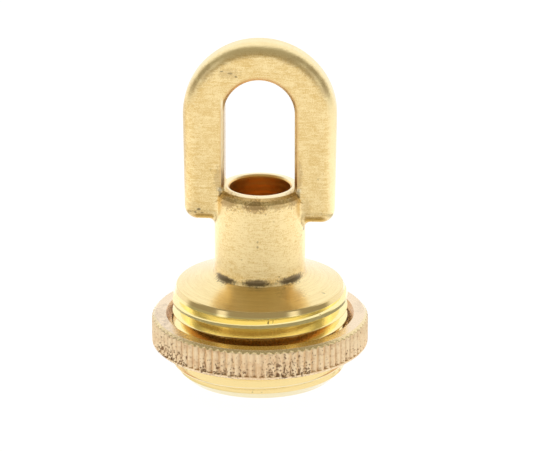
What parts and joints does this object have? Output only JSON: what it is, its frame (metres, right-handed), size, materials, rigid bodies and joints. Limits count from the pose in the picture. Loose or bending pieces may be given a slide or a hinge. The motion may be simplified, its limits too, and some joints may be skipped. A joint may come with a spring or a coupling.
{
  "type": "screw collar loop",
  "caption": "Cast loop on a neck and threaded flange, with a knurled ring that screws on the flange to clamp a canopy and a tapped bore for a nipple.",
  "frame": {"origin": "centre of the flange's flat bottom, on the axis of its thread", "axes": "+Z along the thread's axis, from the flange towards the loop; +X across the loop's width; -Y out of the loop's flat face that the picture shows"},
  "size_m": [0.0328, 0.0328, 0.0525],
  "materials": {
    "loop_brass": "satin cast brass, unlacquered",
    "ring_brass": "rough cast brass, knurled, turned top"
  },
  "bodies": {
    "loop": {"loop_body": "loop_brass"},
    "collar": {"collar_ring": "ring_brass"}
  },
  "joints": [
    {"name": "collar_travel", "type": "slide", "parent": "loop", "child": "collar", "axis": [0, 0, 1], "range_m": [-0.0045, 0.048]}
  ]
}
